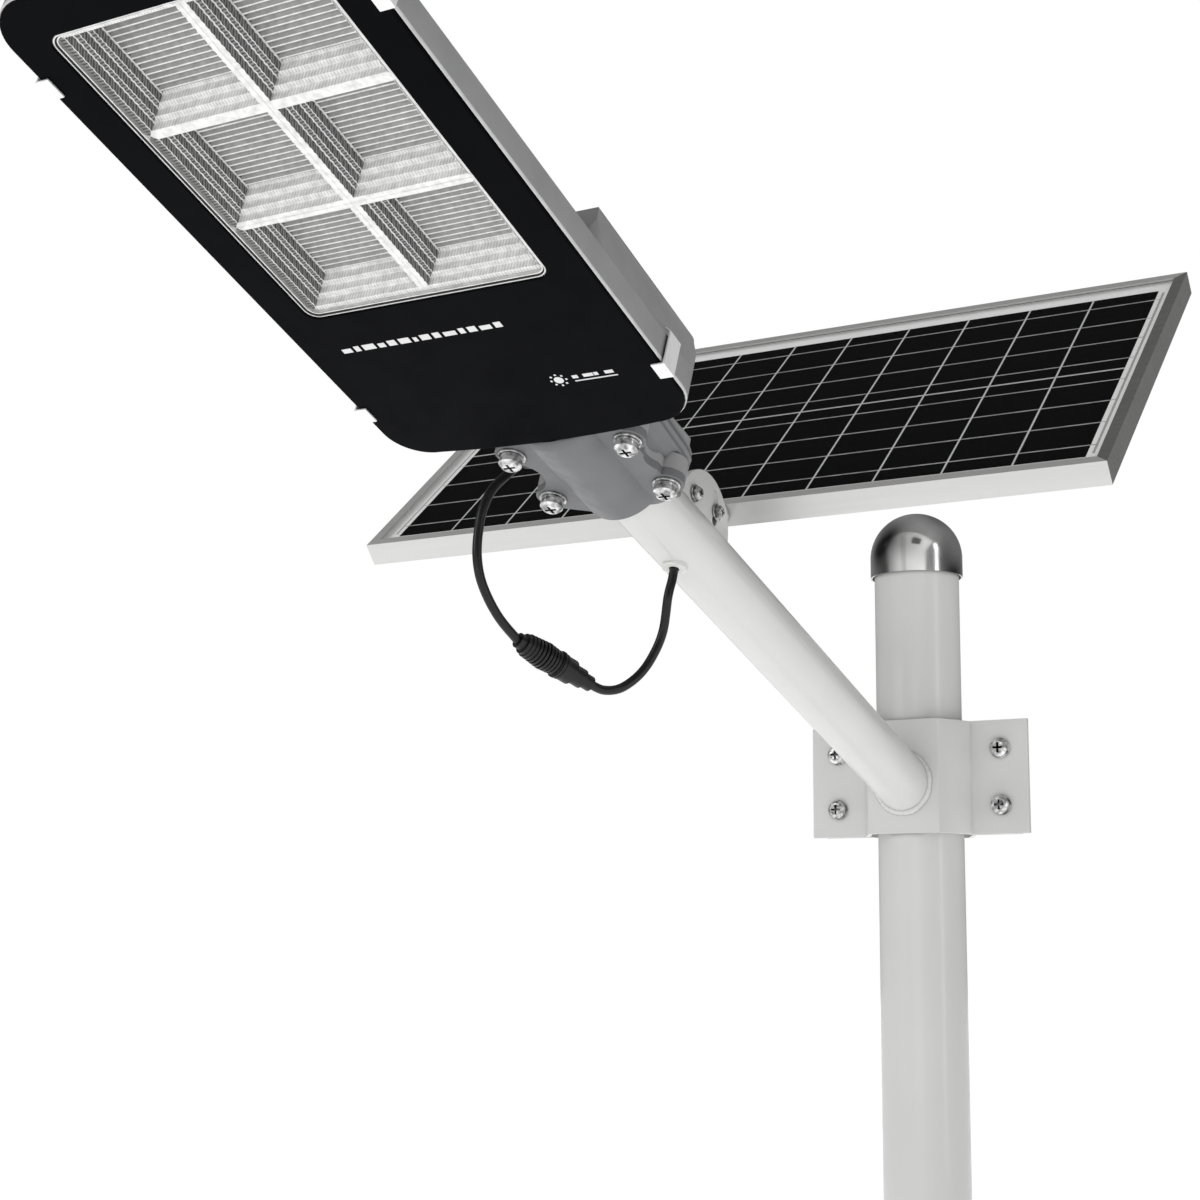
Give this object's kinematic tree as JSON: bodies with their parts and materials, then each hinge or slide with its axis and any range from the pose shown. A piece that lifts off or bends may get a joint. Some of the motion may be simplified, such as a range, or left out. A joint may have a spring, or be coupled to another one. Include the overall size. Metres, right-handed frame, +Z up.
{
  "type": "solar street lamp",
  "caption": "Solar street lamp: grey LED head with stepped reflector wells, welded arm on a clamp bracket, tilting solar panel, round pole section with a polished dome cap.",
  "frame": {"origin": "centre of the mouth of the socket at the pole section's lower end", "axes": "+Z up along the pole, -Y towards the lamp head, +X to the right when facing the lamp from its front"},
  "size_m": [0.625, 1.0807, 1.0072],
  "materials": {
    "coated_light": "smooth powder coat",
    "polished_steel": "polished",
    "zinc": "bright zinc",
    "clip_steel": "bright",
    "black_rubber": "matt",
    "white_rubber": "satin",
    "cable_black": "satin",
    "connector_black": "satin",
    "housing_grey": "satin",
    "neck_grey": "satin",
    "front_black": "gloss",
    "reflector": "metallised",
    "lens_clear": "ribbed",
    "board_white": "satin",
    "led_yellow": "satin",
    "board_green": "satin",
    "cell_blue": "sleeved",
    "panel_aluminium": "anodised",
    "panel_glass": "clear",
    "solar_black": "satin",
    "backsheet_white": "satin"
  },
  "bodies": {
    "pole": {"pole_tube": "coated_light", "socket_nuts": "zinc", "socket_screws": "zinc", "dome_cap": "polished_steel", "cap_liner": "black_rubber"},
    "arm": {"front_clamp": "coated_light", "rear_clamp": "coated_light", "clamp_bolts": "zinc", "clamp_washers": "zinc", "clamp_nuts": "zinc", "arm_tube": "coated_light", "arm_weld": "coated_light", "ear_plate": "coated_light", "arm_grommet": "white_rubber", "arm_lead": "cable_black", "cable_socket": "connector_black", "cable_plug": "connector_black"},
    "head": {"head_housing": "housing_grey", "neck_cover": "neck_grey", "neck_bolts": "zinc", "neck_spring_washers": "zinc", "neck_flat_washers": "zinc", "front_frame": "front_black", "frame_gasket": "black_rubber", "reflector_tray": "reflector", "reflector_cups": "reflector", "well_lenses": "lens_clear", "led_board": "board_white", "led_chips": "led_yellow", "battery_tray": "connector_black", "battery_cells": "cell_blue", "controller_board": "board_green", "controller_parts": "connector_black", "latch_clips": "clip_steel", "cable_gland": "connector_black", "lamp_lead": "cable_black"},
    "panel": {"frame_rail_low": "panel_aluminium", "frame_rail_high": "panel_aluminium", "frame_rail_left": "panel_aluminium", "frame_rail_right": "panel_aluminium", "corner_keys": "panel_aluminium", "panel_glass": "panel_glass", "solar_cells": "solar_black", "backsheet": "backsheet_white", "junction_box": "connector_black", "junction_lid": "connector_black", "cross_rails": "panel_aluminium", "rail_bolts": "zinc", "rail_nuts": "zinc", "tilt_bracket": "coated_light", "bracket_bolts": "zinc", "bracket_nuts": "zinc", "bracket_spacers": "zinc", "tilt_bolts": "zinc", "tilt_washers": "zinc", "tilt_nuts": "zinc"}
  },
  "joints": [
    {"name": "arm_swivel", "type": "hinge", "parent": "pole", "child": "arm", "pos_m": [0, 0, 0.62], "axis": [0, 0, 1], "range_deg": [-180, 180]},
    {"name": "head_roll", "type": "hinge", "parent": "arm", "child": "head", "pos_m": [0, -0.58123, 0.79531], "axis": [0, -0.9478, 0.319], "range_deg": [-15, 15]},
    {"name": "panel_tilt", "type": "hinge", "parent": "arm", "child": "panel", "pos_m": [0, -0.44526, 0.79175], "axis": [1, 0, 0], "range_deg": [-11, 23]}
  ]
}
